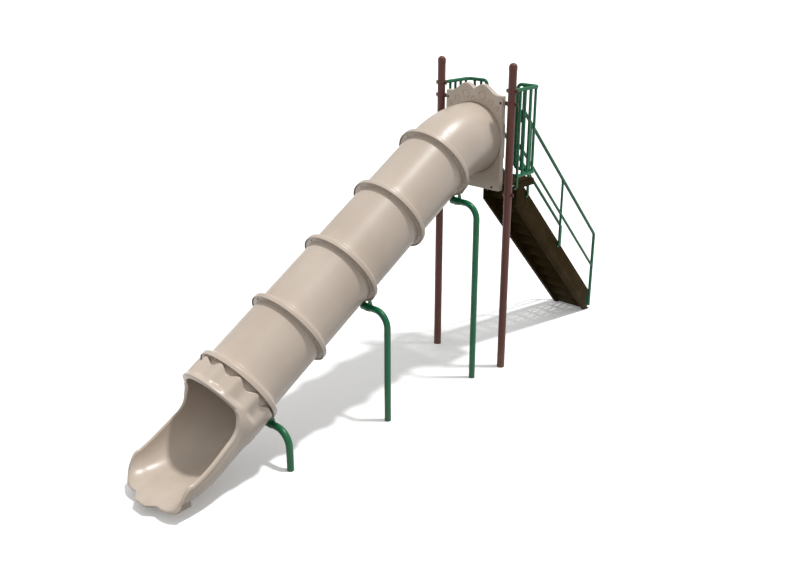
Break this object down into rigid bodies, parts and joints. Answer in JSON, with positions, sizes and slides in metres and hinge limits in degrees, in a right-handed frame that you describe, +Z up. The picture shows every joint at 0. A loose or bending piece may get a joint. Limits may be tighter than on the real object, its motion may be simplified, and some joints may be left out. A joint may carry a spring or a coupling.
{
  "type": "tube slide",
  "caption": "Enclosed straight tube slide of flanged moulded sections with a scooped exit, entrance panel on two posts, deck, barriers, steep stair with handrails and bent support legs.",
  "frame": {"origin": "middle of the footprint on the ground: half way along X between the exit lip and the toe of the stair, and on the plane of the slide's centre line in Y", "axes": "+X points from the exit towards the stair, so the slide descends towards -X; +Z is up; +Y is to the left of someone who looks along +X"},
  "size_m": [6.918, 1.148, 3.551],
  "materials": {
    "moulded_tan": "satin moulded polyethylene, warm beige",
    "post_brown": "powder coat, red brown",
    "rail_green": "powder coat, deep green",
    "deck_brown": "soft vinyl coating, dark brown",
    "bolt_steel": "plated"
  },
  "bodies": {
    "root": {"post_left": "post_brown", "post_right": "post_brown", "post_caps": "post_brown", "rail_clamps": "post_brown", "panel_clamps": "post_brown", "deck_clamps": "post_brown", "clamp_bolts": "bolt_steel", "deck": "deck_brown", "deck_bolts": "bolt_steel", "entrance_panel": "moulded_tan", "panel_brackets": "post_brown", "panel_bolts": "bolt_steel", "entrance_elbow": "moulded_tan", "tube_upper": "moulded_tan", "tube_second": "moulded_tan", "tube_third": "moulded_tan", "tube_lower": "moulded_tan", "exit_chute": "moulded_tan", "exit_foot": "moulded_tan", "joint_bolts_upper": "bolt_steel", "joint_bolts_second": "bolt_steel", "joint_bolts_third": "bolt_steel", "joint_bolts_fourth": "bolt_steel", "joint_bolts_exit": "bolt_steel", "entry_bolts": "bolt_steel", "leg_upper": "rail_green", "leg_middle": "rail_green", "leg_lower": "rail_green", "saddle_upper": "rail_green", "saddle_middle": "rail_green", "saddle_lower": "rail_green", "saddle_bolts": "bolt_steel", "stringer_left": "deck_brown", "stringer_right": "deck_brown", "stair_steps": "deck_brown", "stair_foot_plates": "deck_brown", "stair_bolts": "bolt_steel", "barrier_left": "rail_green", "barrier_right": "rail_green", "handrail_left": "rail_green", "handrail_right": "rail_green", "handrail_plates": "rail_green", "rail_bolts": "bolt_steel"}
  },
  "joints": []
}
